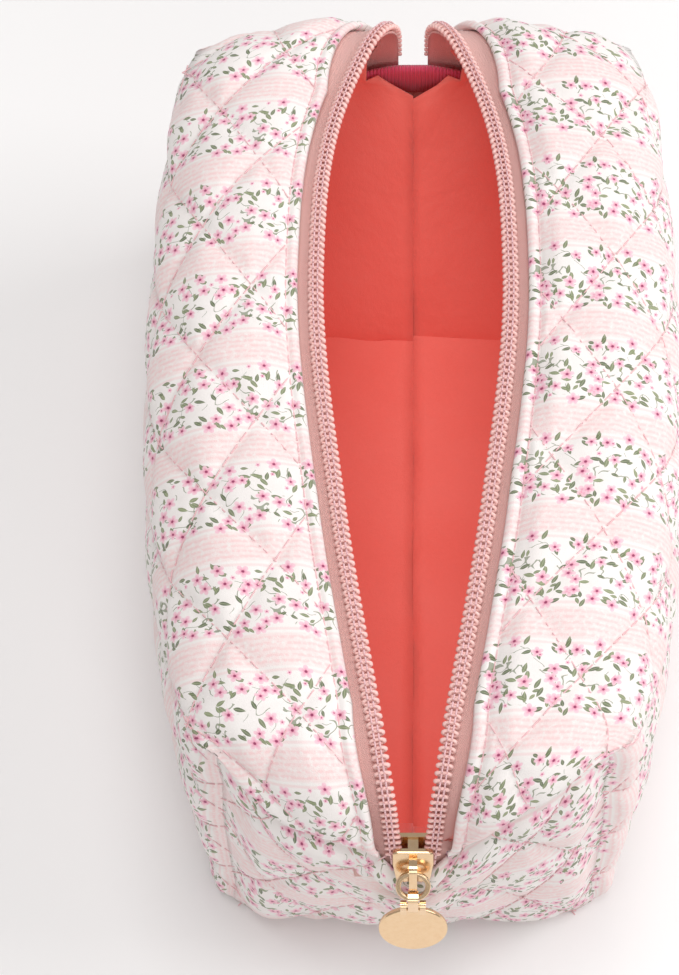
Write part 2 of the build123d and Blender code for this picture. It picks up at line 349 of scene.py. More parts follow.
def panel_patches(side_name, mesh_size=1.0):
    """The panel as four patches of points, each with its place (a, b) in the cloth: a runs from the
    zip edge round to the base's middle, b along the pouch, negative past the near end."""
    def count(length, step):
        return max(int(round(length / (step * mesh_size))), 4)

    hem = np.array([0, 0.25, 0.55, 0.95, 1.4, 1.85, 2.3, 2.7, 3.1, 3.6, 4.3]) / 34
    top_shares = np.concatenate([hem, np.linspace(4.3 / 34, 1, count(30, 1.25) + 1)[1:]])
    side_shares = np.linspace(0, 1, count(87, 1.25) + 1)
    base_shares = np.linspace(0, 1, count(45, 1.6) + 1)
    near_rows = FLAP_FROM * np.linspace(0, 1, count(42, 1.25) + 1) ** 1.25
    far_rows = LAST - (LAST - FLAP_TO) * np.linspace(1, 0, count(50, 1.25) + 1) ** 1.15
    middle_rows = np.linspace(FLAP_FROM, FLAP_TO, count(FLAP_TO - FLAP_FROM, 1.25) + 1)
    rows = np.concatenate([near_rows[:-1], middle_rows, far_rows[1:]])
    fine = np.linspace(0, LAST, 1901)
    arc = np.concatenate([[0], np.cumsum(np.hypot(np.diff(fine), np.diff(through(HALF_WIDTH, fine))))])
    arc_at = np.interp(rows, fine, arc)
    arc_near, arc_far = np.interp([FLAP_FROM, FLAP_TO], fine, arc)
    b_side = np.where(rows < FLAP_FROM, FLAP_FROM + arc_at - arc_near, rows)
    b_side = np.where(rows > FLAP_TO, FLAP_TO + arc_at - arc_far, b_side)
    a_top, a_side, a_base = 34 * top_shares, 34 + 87 * side_shares, 121 + 45 * base_shares
    tops, rest = [], []
    for y in rows:
        top, side, base = section(y, (top_shares, side_shares, base_shares))
        tops.append(np.column_stack([top[:, 0], np.full(len(top), y), top[:, 1]]))
        across = np.concatenate([side, base[1:]])
        points = np.column_stack([across[:, 0], np.full(len(across), y), across[:, 1]])
        under = slice(len(side) - 1, None)
        x = points[under, 0]
        near_push = near_foot(np.minimum(x, 41.6)) * (1 - ease(0, 22, y)) * ease(41.9, 38, x)
        far_push = (far_foot(np.minimum(x, 42.8)) - LAST) * (1 - ease(0, 22, LAST - y)) * ease(43, 39, x)
        points[under, 1] += near_push + far_push
        rest.append(points)
    tops, rest = np.array(tops), np.array(rest)
    n_near, n_far = len(near_rows), len(far_rows)
    middle = slice(n_near - 1, len(rows) - n_far + 1)
    patches = []
    a_rest = np.concatenate([a_side, a_base[1:]])
    patches.append((rest, np.tile(a_rest, (len(rows), 1)), np.tile(b_side[:, None], (1, len(a_rest)))))
    patches.append((tops[middle], np.tile(a_top, (tops[middle].shape[0], 1)),
                    np.tile(rows[middle][:, None], (1, len(a_top)))))
    # the top folds down over the near end, to the seam across it
    crease = np.array(CREASE[side_name], float)
    columns, lengths = [], []
    for j, share in enumerate(top_shares):
        start = tops[n_near - 1, j]
        end_x = 8.0 + (41.0 - 8.0) * share
        y, z = through(crease, end_x)
        end = np.array([end_x, y, z])
        steep = math.radians(70 - 30 * share ** 3)
        reach = np.linalg.norm(end - start)
        pull = start + np.array([0, -1, 0]) * reach * (0.42 - 0.07 * share)
        hold = end + np.array([0, math.cos(steep), math.sin(steep)]) * reach * (0.42 - 0.12 * share)
        run = bezier(start, pull, hold, end, 60)
        tuck = np.array([end + (0, 0.9, -1.3), end + (0, 2.6, -1.6)])
        run = np.concatenate([run, tuck if share < 0.9 else end + (tuck - end) * (1 - share) * 10])
        columns.append(at_shares(run, np.linspace(1, 0, n_near)))
        lengths.append(line_length(run)[-1])
    flap = np.stack(columns, 1)
    flap[:, -1] = rest[:n_near, 0]
    shares = np.linspace(1, 0, n_near)[:, None]
    patches.append((flap, np.tile(a_top, (n_near, 1)), FLAP_FROM - shares * np.array(lengths)[None, :]))
    # the same over the far end
    columns, lengths = [], []
    for j, share in enumerate(top_shares):
        start = tops[len(rows) - n_far, j]
        end_x = 8.0 + (47.9 - 8.0) * share
        y, z = through(FAR_CREASE, end_x)
        end = np.array([end_x, y, z])
        reach = np.linalg.norm(end - start)
        pull = start + np.array([0, 1, -FALL]) * reach * (0.62 - 0.25 * share)
        hold = end + np.array([0, 0.03 - 0.5 * share, 1]) * reach * (0.46 - 0.2 * share)
        run = bezier(start, pull, hold, end, 60)
        tuck = np.array([end + (0, -0.9, -1.3), end + (0, -2.6, -1.6)])
        run = np.concatenate([run, tuck if share < 0.9 else end + (tuck - end) * (1 - share) * 10])
        columns.append(at_shares(run, np.linspace(0, 1, n_far)))
        lengths.append(line_length(run)[-1])
    flap = np.stack(columns, 1)
    flap[:, -1] = rest[-n_far:, 0]
    shares = np.linspace(0, 1, n_far)[:, None]
    patches.append((flap, np.tile(a_top, (n_far, 1)), FLAP_TO + shares * np.array(lengths)[None, :]))
    # the base folds up to meet them
    n_side = len(a_side)
    for end_name in ("near", "far"):
        edge = 0 if end_name == "near" else -1
        inward = 1 if end_name == "near" else -1
        line = np.array(CREASE[side_name] if end_name == "near" else FAR_CREASE, float)
        n_up = count(75, 1.25)
        columns = []
        feet = rest[edge, n_side - 1:]
        corner = rest[edge, :n_side][::-1]
        for j, share in enumerate(base_shares):
            foot = feet[j]
            if j == 0:
                columns.append(at_shares(corner, np.linspace(0, 1, n_up)))
                continue
            q = 1 - share
            end_x = q * line[-1, 0]
            y, z = through(line, end_x)
            rise = z - foot[2]
            out = -inward
            puff = out * 2.4 * ease(0, 0.12, share)
            held = float(ease(0, 0.16, share))
            edge_y = corner[0, 1]
            controls = [foot]
            for up, push in ((0.04, 0.35), (0.33, 1.0), (0.66, 0.9), (0.93, 0.25)):
                level = foot[2] + rise * up
                x = foot[0] + (end_x - foot[0]) * up
                out_y = puff * push + out * 0.8 * (up < 0.1)
                controls.append((x, foot[1] + (y - foot[1]) * up + out_y, level))
            controls.append((end_x, y + inward * 2.6, z - 1.6))
            run = bent(controls, 10)
            run[:, 1] = edge_y + (run[:, 1] - edge_y) * held
            run[0] = foot
            columns.append(at_shares(run, np.linspace(0, 1, n_up)))
        flap = np.stack(columns, 1)
        height = np.linspace(0, BACK_OF_END, n_up)[:, None] * np.ones((1, len(base_shares)))
        b = -height if end_name == "near" else LAST + height
        if end_name == "near":
            flap, b = flap[::-1], b[::-1]
        patches.append((flap, np.tile(a_base, (n_up, 1)), b))
    return patches


def joined(patches, side):
    """The patches as one set of points and faces; edges that are the same cloth are shared."""
    points, a, b, faces, start = [], [], [], [], 0
    for p, pa, pb in patches:
        rows, columns = pa.shape
        index = start + np.arange(rows * columns).reshape(rows, columns)
        corners = [index[:-1, :-1], index[:-1, 1:], index[1:, 1:], index[1:, :-1]]
        quads = np.stack(corners, -1).reshape(-1, 4)
        points.append(p.reshape(-1, 3))
        a.append(pa.ravel())
        b.append(pb.ravel())
        faces.append(quads if side > 0 else quads[:, ::-1])
        start += rows * columns
    points, a, b, faces = (np.concatenate(x) for x in (points, a, b, faces))
    key = np.round(np.column_stack([points * 200, a * 20, b * 20])).astype(np.int64)
    _, first, same = np.unique(key, axis=0, return_index=True, return_inverse=True)
    faces = same.ravel()[faces]
    points, a, b = points[first] * (side, 1, 1), a[first], b[first]
    whole = np.array([len(set(f)) == 4 for f in faces.tolist()])
    return points, a, b, faces[whole]


def neighbours(faces):
    edges = np.concatenate([faces[:, [i, (i + 1) % 4]] for i in range(4)])
    edges = np.unique(np.sort(edges, 1), axis=0)
    uses = np.concatenate([np.sort(faces[:, [i, (i + 1) % 4]], 1) for i in range(4)])
    _, count = np.unique(uses, axis=0, return_counts=True)
    return edges, edges[count == 1]


def relaxed(points, faces, rounds, held):
    """Evens out kinks; points in held stay."""
    edges, _ = neighbours(faces)
    number = np.bincount(edges.ravel(), minlength=len(points))[:, None]
    free = np.ones(len(points), bool)
    free[held] = False
    for _ in range(rounds):
        total = np.zeros_like(points)
        np.add.at(total, edges[:, 0], points[edges[:, 1]])
        np.add.at(total, edges[:, 1], points[edges[:, 0]])
        points = np.where(free[:, None], 0.4 * points + 0.6 * total / number, points)
    return points


def outward(points, faces):
    """The outward direction at each point."""
    p = points[faces]
    n = np.cross(p[:, 2] - p[:, 0], p[:, 3] - p[:, 1])
    total = np.zeros_like(points)
    for i in range(4):
        np.add.at(total, faces[:, i], n)
    return total / np.maximum(np.linalg.norm(total, axis=1, keepdims=True), 1e-9)


def quilt_lines(a, b, side_name):
    """How far along each of the two sets of slanting lines a place is; whole numbers are stitched."""
    at_a, at_b = QUILT_AT[side_name]
    across, along = (a - at_a) / QUILT[0], (b - at_b) / QUILT[1]
    return across + along, across - along


QUILT_GAP = QUILT[0] * QUILT[1] / math.hypot(*QUILT)


def off_line(q):
    return np.abs(q - np.round(q)) * QUILT_GAP


def wave(seed, a, b, sizes):
    """Uneven ripples made of a few long waves."""
    draw = np.random.default_rng(seed)
    total = 0.0
    for size in sizes:
        for _ in range(3):
            angle, phase = draw.uniform(0, math.pi), draw.uniform(0, 2 * math.pi)
            total = total + np.sin((a * math.cos(angle) + b * math.sin(angle)) * 2 * math.pi / size + phase)
    return total / (3 * len(sizes))


def quilt_height(a, b, side_name):
    """Height of the quilted face over its resting surface."""
    q1, q2 = quilt_lines(a, b, side_name)
    near = np.minimum(off_line(q1), off_line(q2))
    puff = QUILT_RISE * (1 - np.exp(-(near / 4.6) ** 1.3)) * (1 + 0.25 * wave(3, a, b, (40, 25)))
    groove = -0.55 * np.exp(-(near / 0.8) ** 2)
    pucker = 0.26 * np.exp(-near / 3.5) * wave(5, a * 1.0, b * 1.0, (5.2, 7.5, 4.1)) * 1.8
    calm = ease(TOPSTITCH + 0.4, TOPSTITCH + 4, a)
    height = (puff + pucker) * calm + groove * ease(TOPSTITCH, TOPSTITCH + 1, a)
    height += 0.75 * wave(11, a, b, (70, 48)) * calm
    rim = np.clip(1 - a / 1.3, 0, 1)
    height -= 1.3 * (1 - np.sqrt(np.maximum(1 - rim * rim, 0)))
    height -= 0.85 * np.exp(-((a - TOPSTITCH) / 0.55) ** 2)
    height += 0.22 * np.exp(-((a - TOPSTITCH) / 1.6) ** 2) * np.sin(b * 2 * math.pi / 2.9)
    return height


def distance_to(points, others):
    tree = KDTree(len(others))
    for i, other in enumerate(others):
        tree.insert(other, i)
    tree.balance()
    return np.array([tree.find(point)[2] for point in points])


panels, thinned = {}, {}
for side_name, side in SIDES:
    points, a, b, faces = joined(panel_patches(side_name), side)
    _, rim = neighbours(faces)
    points = relaxed(points, faces, 6, np.unique(rim))
    normals = outward(points, faces)
    seam = np.unique(rim)
    seam = seam[a[seam] > 6]
    from_seam = distance_to(points, points[seam])
    height = quilt_height(a, b, side_name) * ease(0.2, 5.0, from_seam)
    points = points + normals * height[:, None]
    points[:, 2] = np.maximum(points[:, 2], 0.05)
    panels[side_name] = (points, a, b, faces)
    thinned[side_name] = 0.04 + 0.96 * ease(0.0, 6.0, from_seam)

PRINT_REPEAT = 24.7
STRIPE_AT = {"left": 20.0, "right": 1.8}
COTTON_WHITE = colour(250, 246, 243)


def printed_cotton(name, stripe_at, shift):
    """Off-white cotton with a band of small pink flowers and green leaves between pale pink stripes."""
    made, shader = finish_of(name, Roughness=0.86, Sheen_Weight=0.25, Sheen_Roughness=0.5)
    cloth = Tone.node("UVMap", {"uv_map": "cloth"})
    a, b, _ = by_axis(cloth)
    turn = (b - stripe_at) / PRINT_REPEAT
    place = (turn + 0.5).sum("FRACT") - 0.5
    off_stripe = place.sum("ABSOLUTE") * PRINT_REPEAT
    band = Tone.node("CombineXYZ", {}, {"X": a + shift, "Y": (turn + 0.0).sum("FRACT") * PRINT_REPEAT})
    ground = mixed(noise(cloth, 0.35), COTTON_WHITE, colour(243, 236, 233))
    # the stripes
    tint = (off_stripe * (2 * math.pi / 1.32)).sum("COSINE").step(-0.7, 0.9) * 0.45 + 0.55
    stripe = (1 - off_stripe.step(3.3, 3.9)) * tint * noise(cloth, 1.1, 3).step(0.2, 0.6)
    print_now = mixed(stripe * 0.8, ground, colour(246, 206, 206))
    thin = (off_stripe - 4.6).sum("ABSOLUTE").step(0.5, 0.12) * 0.4
    print_now = mixed(thin, print_now, colour(244, 200, 202))

    def scattered(cell, seed_shift, kept):
        """Spots thrown over the flower band: offset from the nearest, its random colour, its mask."""
        moved = Tone.node("VectorMath", {"operation": "ADD"}, {0: band, 1: (seed_shift, 0.0, 0.0)})
        sockets = {"Vector": moved, "Scale": 1 / cell, "Randomness": 0.85}
        settings = {"voronoi_dimensions": "2D"}
        found = Tone.node("TexVoronoi", settings, sockets, 2)
        chance = Tone(found.socket.node.outputs[1])
        offset = Tone.node("VectorMath", {"operation": "SUBTRACT"}, {0: moved, 1: found})
        _, height, _ = by_axis(found)
        from_band = (height / PRINT_REPEAT - 0.5).sum("ABSOLUTE") * PRINT_REPEAT
        r, g, b_ = by_axis(chance)
        return offset, (r, g, b_), (from_band < 8.2) * (r < kept)

    def petals(offset, angle, size):
        x, y, _ = by_axis(offset)
        far = Tone.node("VectorMath", {"operation": "LENGTH"}, {0: offset}, 1)
        around = y.sum("ARCTAN2", x) + angle * 6.28
        edge = (around * 2.5).sum("SINE").sum("ABSOLUTE") * 0.42 + 0.58
        return far, edge * size

    def leaf_shape(offset, angle, long, wide):
        x, y, _ = by_axis(offset)
        c, s = (angle * 6.28).sum("COSINE"), (angle * 6.28).sum("SINE")
        u, v = (x * c + y * s) / long, (y * c - x * s) / wide
        return u, v, (u * u + v.sum("ABSOLUTE") * (1 + u * 0.3)) < 1.0

    # thin stems wander between the leaves
    for seed, size in ((7.0, 0.16), (31.0, 0.19)):
        moved = Tone.node("VectorMath", {"operation": "ADD"}, {0: band, 1: (seed, seed, 0.0)})
        line = (noise(moved, size, 1.0) - 0.5).sum("ABSOLUTE") < 0.0075
        there = (noise(moved, 0.3, 0.0) > 0.52) * (off_stripe > 5.6)
        print_now = mixed(line * there * 0.75, print_now, colour(120, 132, 100))
    for cell, seed, kept, long, wide in ((3.3, 3.0, 0.55, 1.25, 0.44), (3.9, 57.0, 0.52, 1.05, 0.4),
                                         (2.9, 91.0, 0.42, 0.8, 0.34)):
        offset, (r, g, b_), there = scattered(cell, seed, kept)
        u, v, inside = leaf_shape(offset, g, long, wide)
        green = mixed(b_, colour(92, 104, 74), colour(142, 152, 112))
        vein = (1 - v.sum("ABSOLUTE").step(0.05, 0.3)) * 0.45
        green = mixed(vein, green, colour(188, 196, 160))
        print_now = mixed(inside * there * 0.94, print_now, green)
    for cell, seed, kept, size in ((4.5, 17.0, 0.72, 1.55), (4.2, 71.0, 0.42, 1.3), (2.6, 41.0, 0.16, 0.6)):
        offset, (r, g, b_), there = scattered(cell, seed, kept)
        far, edge = petals(offset, g, size)
        share = far / edge
        pink = mixed(share.step(0.1, 0.75), colour(232, 128, 166), colour(249, 209, 220))
        pink = mixed(b_ * 0.3, pink, colour(244, 178, 198))
        print_now = mixed((1 - share.step(0.86, 1.02)) * there * 0.92, print_now, pink)
        heart = (1 - (far / size).step(0.13, 0.25)) * there
        print_now = mixed(heart * 0.9, print_now, colour(142, 34, 84))
    print_now = mixed(noise(cloth, 5.0, 2.0) * 0.16, print_now, colour(226, 214, 212), "MULTIPLY")
    feed(shader, Base_Color=print_now, Roughness=noise(cloth, 0.8) * 0.12 + 0.8,
         Normal=raised(noise(cloth, 4.0, 3.0), 0.00011))
    return made


def with_cloth_map(made, a, b):
    """Gives a piece its place in the cloth as a map of its own."""
    layer = made.data.uv_layers.new(name="cloth")
    loops = np.zeros(len(made.data.loops), np.int64)
    made.data.loops.foreach_get("vertex_index", loops)
    layer.data.foreach_set("uv", np.column_stack([a[loops], b[loops]]).astype(np.float32).ravel())


def thicken(made, thick, offset=-1.0, shares=None):
    wall = made.modifiers.new("wall", "SOLIDIFY")
    if shares is not None:
        group = made.vertex_groups.new(name="wall")
        for i, share in enumerate(shares.tolist()):
            group.add((i,), share, "REPLACE")
        wall.vertex_group = "wall"
    wall.thickness = thick * MM
    wall.offset = offset
    wall.use_even_offset = False


for side_name, side in SIDES:
    points, a, b, faces = panels[side_name]
    cotton = printed_cotton(f"printed_cotton_{side_name}", STRIPE_AT[side_name], 200.0 if side > 0 else 0.0)
    panel = piece_of(f"quilted_panel_{side_name}", points, faces.tolist(), [cotton])
    with_cloth_map(panel, a, b)
    thicken(panel, PANEL_THICK, -1.0, thinned[side_name])
    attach(panel, "pouch")
    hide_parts(f"cover_{side_name}", f"wadding_{side_name}")

# ---- stitching on the panels --------------------------------------------------------
# Pale pink polyester thread: long quilting stitches along the diamonds, and a line of
# topstitching that holds the turned edge of the cotton along the zip.
THREAD = 0.34
QUILT_STITCH = (2.5, 0.9)
TOP_STITCH = (2.2, 0.7)


def stitched_line(points, faces, values):
    """Where a value that varies over the cloth passes whole numbers: chains of points."""
    places, links = {}, []
    crossing = []
    v = values[faces]
    for level in range(int(math.floor(values.min())), int(math.ceil(values.max())) + 1):
        above = v > level
        for face, mask, corner_values in zip(faces[above.any(1) & ~above.all(1)],
                                             above[above.any(1) & ~above.all(1)],
                                             v[above.any(1) & ~above.all(1)]):
            if corner_values.max() - corner_values.min() > 0.6:
                continue
            ends = []
            for i in range(4):
                j = (i + 1) % 4
                if mask[i] != mask[j]:
                    key = (level, min(face[i], face[j]), max(face[i], face[j]))
                    if key not in places:
                        t = (level - corner_values[i]) / (corner_values[j] - corner_values[i])
                        places[key] = len(crossing)
                        crossing.append(points[face[i]] * (1 - t) + points[face[j]] * t)
                    ends.append(places[key])
            if len(ends) == 2:
                links.append(ends)
    return np.array(crossing), links


def tree_for(name, inputs):
    """A node tree with geometry in and out and the named inputs."""
    tree = bpy.data.node_groups.new(name + "_tree", "GeometryNodeTree")
    tree.interface.new_socket("Geometry", in_out="INPUT", socket_type="NodeSocketGeometry")
    for label, kind in inputs.items():
        tree.interface.new_socket(label, in_out="INPUT", socket_type="NodeSocket" + kind)
    tree.interface.new_socket("Geometry", in_out="OUTPUT", socket_type="NodeSocketGeometry")
    return tree


def grown(name, guide, tree, wanted):
    """Runs a node tree on a guide and keeps what comes out as one plain mesh."""
    live = guide.modifiers.new("tree", "NODES")
    live.node_group = tree
    for item in tree.interface.items_tree:
        if item.in_out == "INPUT" and item.name in wanted:
            live[item.identifier] = wanted[item.name]
    bpy.context.view_layer.update()
    found = guide.evaluated_get(bpy.context.evaluated_depsgraph_get())
    mesh = bpy.data.meshes.new_from_object(found)
    bpy.data.objects.remove(guide)
    mesh.name = name
    made = bpy.data.objects.new(name, mesh)
    scene.collection.objects.link(made)
    return made


def thread_along(name, chains, stitch, radius, material, sides=5):
    """Short stitches laid along chains of points by a node tree; one plain mesh comes back."""
    points, links, start = [], [], 0
    for p, l in chains:
        points.append(p)
        links.extend([(i + start, j + start) for i, j in l])
        start += len(p)
    guide_mesh = bpy.data.meshes.new(name + "_guide")
    guide_mesh.from_pydata((np.concatenate(points) * MM).tolist(), links, [])
    guide = bpy.data.objects.new(name, guide_mesh)
    scene.collection.objects.link(guide)
    tree = tree_for(name, {"Pitch": "Float", "Stitch": "Float", "Thread": "Float"})
    new, link = tree.nodes.new, tree.links.new
    given, done = new("NodeGroupInput"), new("NodeGroupOutput")
    to_curve, evenly = new("GeometryNodeMeshToCurve"), new("GeometryNodeResampleCurve")
    spots = new("GeometryNodeCurveToPoints")
    evenly.mode = "LENGTH"
    spots.mode = "EVALUATED"
    place, align = new("GeometryNodeInstanceOnPoints"), new("FunctionNodeAlignEulerToVector")
    real, finish = new("GeometryNodeRealizeInstances"), new("GeometryNodeSetMaterial")
    align.axis = "X"
    bar = new("GeometryNodeCurvePrimitiveLine")
    for share, bar_end in ((-0.5, "Start"), (0.5, "End")):
        half = new("ShaderNodeVectorMath")
        half.operation = "SCALE"
        half.inputs[0].default_value = (share, 0, 0)
        link(given.outputs["Stitch"], half.inputs["Scale"])
        link(half.outputs[0], bar.inputs[bar_end])
    subdivide = new("GeometryNodeSubdivideCurve")
    subdivide.inputs["Cuts"].default_value = 2
    link(bar.outputs[0], subdivide.inputs[0])
    ring = new("GeometryNodeCurvePrimitiveCircle")
    ring.inputs["Resolution"].default_value = sides
    link(given.outputs["Thread"], ring.inputs["Radius"])
    swell = new("GeometryNodeSetCurveRadius")
    share = new("GeometryNodeSplineParameter")
    arch = new("ShaderNodeFloatCurve")
    arch.mapping.curves[0].points[0].location = (0.0, 0.35)
    arch.mapping.curves[0].points[1].location = (1.0, 0.35)
    arch.mapping.curves[0].points.new(0.33, 1.0)
    arch.mapping.curves[0].points.new(0.67, 1.0)
    arch.mapping.update()
    link(share.outputs["Factor"], arch.inputs["Value"])
    link(subdivide.outputs[0], swell.inputs["Curve"])
    link(arch.outputs[0], swell.inputs["Radius"])
    solid = new("GeometryNodeCurveToMesh")
    solid.inputs["Fill Caps"].default_value = True
    link(swell.outputs[0], solid.inputs["Curve"])
    link(ring.outputs[0], solid.inputs["Profile Curve"])
    link(given.outputs["Geometry"], to_curve.inputs[0])
    link(to_curve.outputs[0], evenly.inputs["Curve"])
    link(given.outputs["Pitch"], evenly.inputs["Length"])
    link(evenly.outputs[0], spots.inputs[0])
    link(spots.outputs["Points"], place.inputs["Points"])
    link(spots.outputs["Tangent"], align.inputs["Vector"])
    link(align.outputs[0], place.inputs["Rotation"])
    link(solid.outputs[0], place.inputs["Instance"])
    link(place.outputs[0], real.inputs[0])
    link(real.outputs[0], finish.inputs["Geometry"])
    finish.inputs["Material"].default_value = material
    link(finish.outputs[0], done.inputs[0])
    wanted = {"Pitch": stitch[0] + stitch[1], "Stitch": stitch[0], "Thread": radius}
    return grown(name, guide, tree, {label: size * MM for label, size in wanted.items()})


def thread_finish(name, light, dark):
    made, shader = finish_of(name, Roughness=0.55, Sheen_Weight=0.3)
    where = Tone.node("TexCoord", out=3)
    twist = noise(where, 1400.0, 2.0)
    feed(shader, Base_Color=mixed(twist, light, dark), Normal=raised(twist, 0.0001))
    return made


pink_thread = thread_finish("pink_thread", colour(244, 206, 208), colour(226, 172, 178))
for side_name, side in SIDES:
    points, a, b, faces = panels[side_name]
    raised_points = points + outward(points, faces) * 0.12
    sets = quilt_lines(a, b, side_name)
    sewn = faces[a[faces].min(1) > TOPSTITCH + 0.5]
    chains = [stitched_line(raised_points, sewn, q) for q in sets]
    thread = thread_along(f"quilting_thread_{side_name}", chains, QUILT_STITCH, THREAD / 2, pink_thread)
    hem_faces = faces[a[faces].max(1) < TOPSTITCH + 1.2]
    top_chain = [stitched_line(raised_points, hem_faces, (a - TOPSTITCH + 0.001) / 3.0)]
    topstitch = thread_along(f"topstitching_{side_name}", top_chain, TOP_STITCH, THREAD / 2, pink_thread)
    for piece in (thread, topstitch):
        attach(piece, "pouch")

# ---- the lining ------------------------------------------------------------------
# A plain coral-red lining hangs inside each panel, sewn in with the zip and at the end seams.
# It is cut a little full, so it creases, and its end walls slope in to the floor.
LINING_EDGE = 7.0
LINING_DEEP = 4.3
LINING_THICK = 0.5
CORAL = colour(240, 134, 122)
DEEP_RED = colour(222, 84, 70)


def run_of_zip(count):
    """The zip's line seen from the side: straight run, turn, level top, fall, far turn, far seam."""
    slope = math.radians(70)
    turn = np.linspace(slope, 0, 24)
    near = np.column_stack([9 - 22 * np.sin(turn), 72 + 22 * np.cos(turn)])
    foot = near[0] - 21 * np.array([math.cos(slope), math.sin(slope)])
    y = np.linspace(12, 184, 60)
    top = np.column_stack([y, top_height(y)])
    far_turn = np.linspace(math.radians(7), math.radians(90), 20)
    centre_z = top_height(186.8) - 15 * math.cos(math.radians(7))
    far = np.column_stack([185 + 15 * np.sin(far_turn), centre_z + 15 * np.cos(far_turn)])
    line = np.vstack([foot, near, top, far, [(200.0, 60.0)]])
    return at_shares(line, np.linspace(0, 1, count))


def zip_strip(side, spreads, depths, count=360):
    """A ribbon beside the zip: points at distances out from the coil's edge, each at its own depth."""
    line = run_of_zip(count)
    along = np.gradient(line, axis=0)
    along /= np.linalg.norm(along, axis=1, keepdims=True)
    inward = np.column_stack([along[:, 1], -along[:, 0]])
    half_gap = through(GAP, line[:, 0])
    rows = []
    for spread, depth in zip(spreads, depths):
        deep = line + inward * depth
        rows.append(np.column_stack([side * (half_gap + spread), deep]))
    return np.stack(rows, 1), line_length(line)


def kept_inside(points, side_name, clearance):
    """Brings points that lie outside a panel, or too near its face, back in to the clearance."""
    outer, _, _, outer_faces = panels[side_name]
    tree = BVHTree.FromPolygons(outer.tolist(), outer_faces.tolist())
    moved = points.copy()
    for i, point in enumerate(points):
        near, normal, _, _ = tree.find_nearest(point)
        depth = (near - Vector(point)).dot(normal)
        if depth < clearance:
            moved[i] = near - normal * clearance
    return moved


def ribbon_faces(rows, columns, flip):
    index = np.arange(rows * columns).reshape(rows, columns)
    quads = np.stack([index[:-1, :-1], index[:-1, 1:], index[1:, 1:], index[1:, :-1]], -1)
    quads = quads.reshape(-1, 4)
    return quads[:, ::-1] if flip else quads


lining_finish, shader = finish_of("coral_lining_painted_glow", Roughness=0.62, Sheen_Weight=0.35, Sheen_Roughness=0.4)
# Painted light: the lining glows faintly in its own coral colour, standing in for light that comes through
# the panels and bounces inside the pouch.
shader.inputs["Emission Strength"].default_value = 0.13
cloth = Tone.node("UVMap", {"uv_map": "cloth"})
a, b, _ = by_axis(cloth)
tone = mixed(noise(cloth, 0.03, 3.0), CORAL, colour(236, 112, 98))
tone = mixed(noise(cloth, 1.6, 3.0) * 0.22, tone, DEEP_RED)
weave = noise(cloth, 0.35, 3.0) + noise(cloth, 4.0, 2.0) * 0.3
feed(shader, Base_Color=tone, Emission_Color=tone, Normal=raised(weave, 0.0003))

for side_name, side in SIDES:
    points, a, b, faces = joined(panel_patches(side_name, 2.0), side)
    edges, rim = neighbours(faces)
    points = relaxed(points, faces, 8, np.unique(rim))
    flat_x, flat_z = points[:, 0].copy(), points[:, 2].copy()
    normals = outward(points, faces)
    edge_in = (LINING_EDGE - COVER_EDGE) * ease(58, 66, flat_z)
    points = points - normals * LINING_DEEP
    points[:, 0] += side * edge_in * np.exp(-a / 6)
    # loose end walls slope in to the floor, and the floor has a soft fold across it
    wall = 154 + np.maximum(points[:, 2] - 5, 0) * 0.70
    past = np.maximum(points[:, 1] - wall, 0)
    points[:, 1] -= past * ease(70, 50, points[:, 2])
    near_wall = 14 - np.maximum(points[:, 2] - 5, 0) * 0.42
    points[:, 1] += np.maximum(near_wall - points[:, 1], 0) * ease(60, 40, points[:, 2])
    folds = 1.5 * wave(23 + side, a, b, (60, 34)) + 0.5 * wave(29 + side, a, b, (14, 20))
    lift = np.abs(wave(31, a * 0.6, b, (55, 80))) * 3.0 * ease(100, 140, a)
    calm = ease(3, 16, a)
    middle = (np.abs(flat_x) < 1.5) | ((np.abs(flat_x) < 11) & (flat_z < 61) & (a < 2))
    points = points - normals * ((1.2 + folds) * calm + lift)[:, None]
    top_of_wall = ease(46, 58, flat_z) * (1 - ease(6, 14, np.abs(flat_x)))
    points[:, 2] += 6.0 * top_of_wall
    tight = ~((np.abs(flat_x) < 16) & (flat_z > 30) & (flat_z < 64))
    for clearance in (4.0, 4.0, 3.6):
        points[tight] = kept_inside(points[tight], side_name, clearance)
        widest = through(HALF_WIDTH, points[:, 1]) - 4.5
        points[:, 0] = np.clip(points[:, 0], -widest, widest)
        wide = np.abs(points[:, 0]) > 20
        points[wide, 1] = np.clip(points[wide, 1], 3.0, LAST - 3.0)
        points = relaxed(points, faces, 1, np.unique(rim))
    points[:, 0] = side * np.maximum(side * points[:, 0], 0.0)
    points[middle, 0] = 0.0
    points[:, 2] = np.maximum(points[:, 2], 3.6)
    lining = piece_of(f"lining_cloth_{side_name}", points, faces.tolist(), [lining_finish])
    with_cloth_map(lining, a, b)
    thicken(lining, LINING_THICK)
    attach(lining, "pouch")
    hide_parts(f"lining_{side_name}")

# ---- the bindings ------------------------------------------------------------------
# Hot-pink grosgrain ribbon, folded over the raw edges of the seams inside: one across each end,
# and one up each boxed corner.
RIBBON_HALF = 5.5
grosgrain, shader = finish_of("pink_grosgrain", Roughness=0.6, Sheen_Weight=0.4)
cloth = Tone.node("UVMap", {"uv_map": "cloth"})
a, b, _ = by_axis(cloth)
ribs = (a * (2 * math.pi / 0.9)).sum("SINE")
tone = mixed(ribs.step(-1, 1) * 0.4, colour(250, 96, 134), colour(226, 52, 96))
tone = mixed(noise(cloth, 0.2, 3.0) * 0.3, tone, colour(240, 70, 112))
feed(shader, Base_Color=tone, Normal=raised(ribs, 0.00022))


